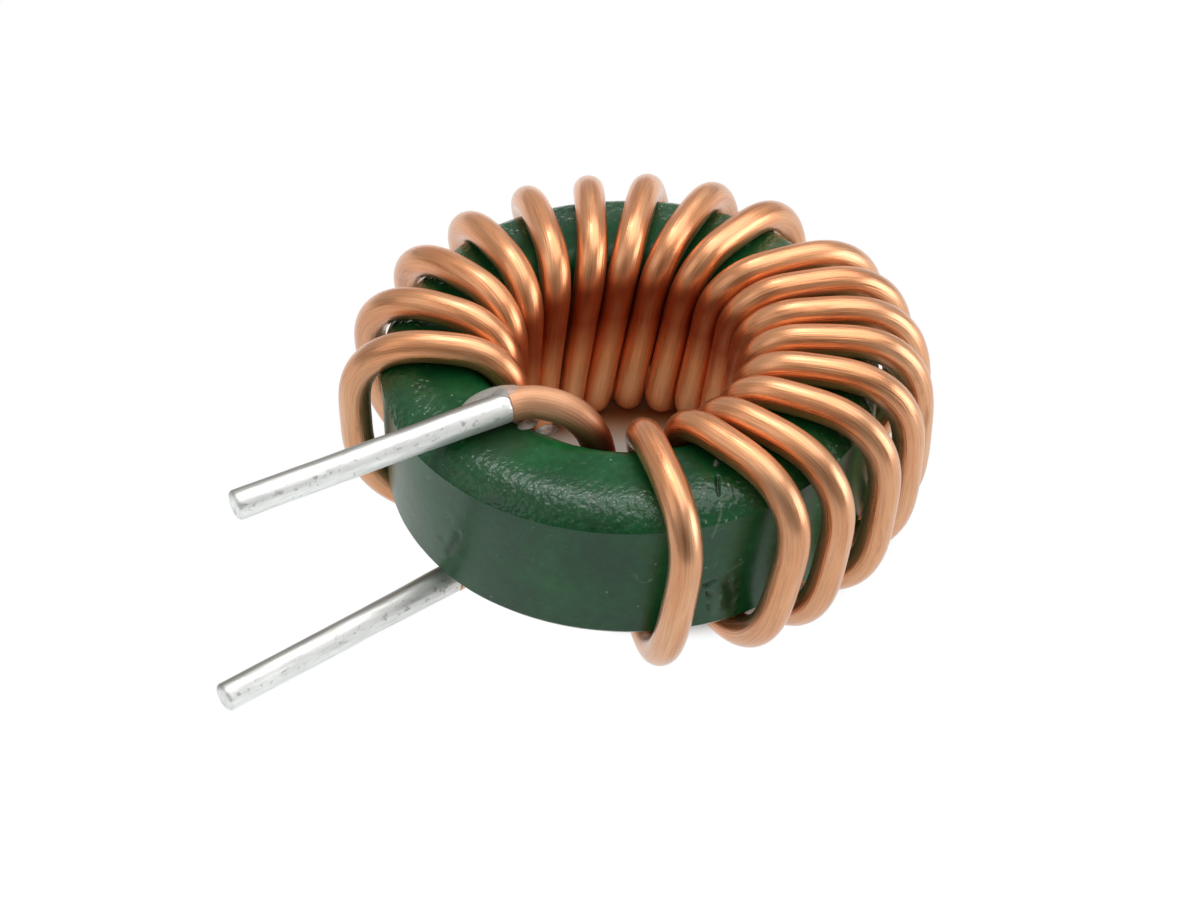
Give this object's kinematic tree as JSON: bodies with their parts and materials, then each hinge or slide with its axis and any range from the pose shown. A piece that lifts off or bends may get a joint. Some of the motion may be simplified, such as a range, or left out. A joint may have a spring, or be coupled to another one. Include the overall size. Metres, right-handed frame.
{
  "type": "toroidal inductor",
  "caption": "Toroidal inductor: one heavy enamelled wire wound round a green coated ring core, with two straight tinned leads to one side.",
  "frame": {"origin": "on the ring's axis, in the plane that the lowest turns rest on", "axes": "+Z along the ring's axis, upwards; the upper lead points along -X"},
  "size_m": [0.0335, 0.0252, 0.0103],
  "materials": {
    "core_coating": "glossy green epoxy powder coat with a slight orange peel",
    "enamelled_copper": "copper wire under clear enamel, satin, with fine lengthwise drawing lines",
    "tin": "solder-tinned copper, silvery, streaked lengthwise",
    "resin": "clear set resin, slightly brown"
  },
  "bodies": {
    "root": {"core": "core_coating", "winding": "enamelled_copper", "upper_tinned_end": "tin", "lower_tinned_end": "tin", "resin_bead": "resin"}
  },
  "joints": []
}
